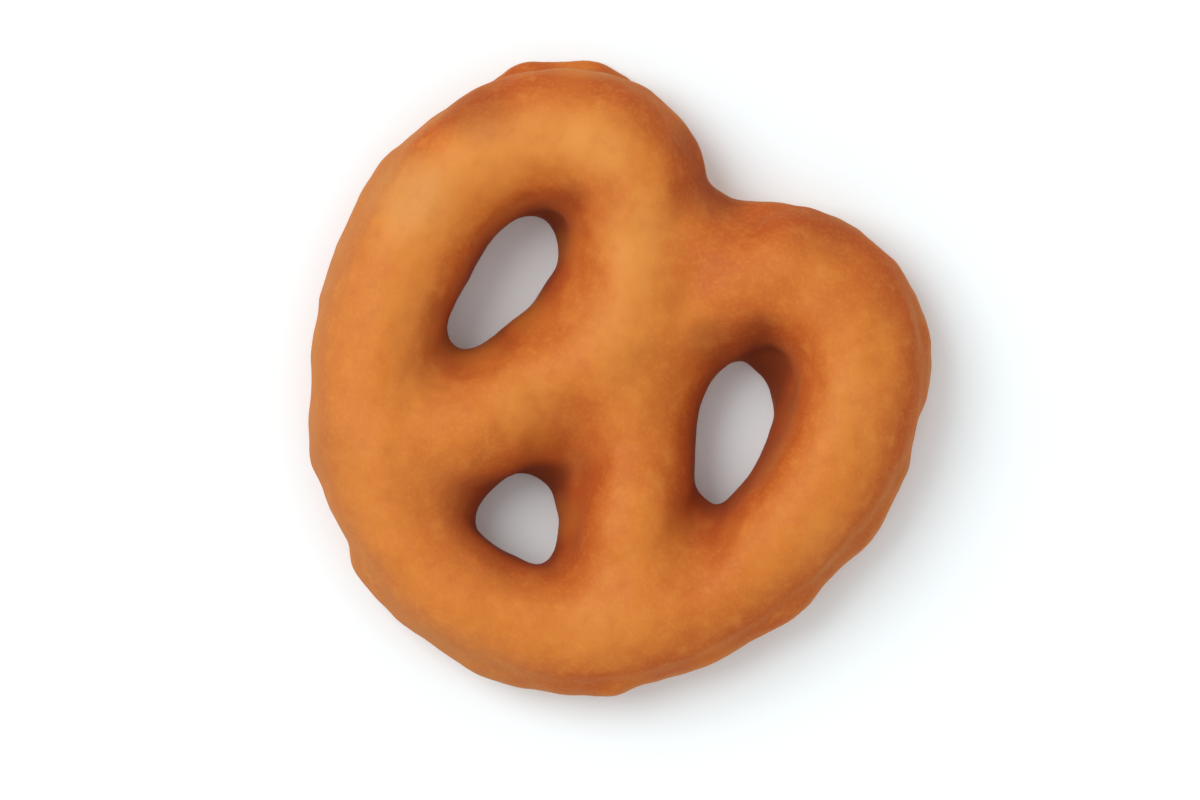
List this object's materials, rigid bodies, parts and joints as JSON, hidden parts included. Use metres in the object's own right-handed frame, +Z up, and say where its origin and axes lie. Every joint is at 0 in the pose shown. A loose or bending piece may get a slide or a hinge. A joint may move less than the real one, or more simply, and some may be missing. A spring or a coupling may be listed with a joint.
{
  "type": "caramel coated pretzel",
  "caption": "Small pretzel twist dipped in a thick, smooth caramel coat, with open holes between its crossed strands and a flat underside to lie on; a bite-size sweet snack.",
  "frame": {"origin": "on the flat underside, below the middle of the outline", "axes": "+Z up out of the flat underside, +Y towards the dip between the two lobes, +X to the right seen from above with the dip away"},
  "size_m": [0.042, 0.0396, 0.0089],
  "materials": {
    "caramel_coat": "satin"
  },
  "bodies": {
    "root": {"coated_pretzel": "caramel_coat"}
  },
  "joints": []
}
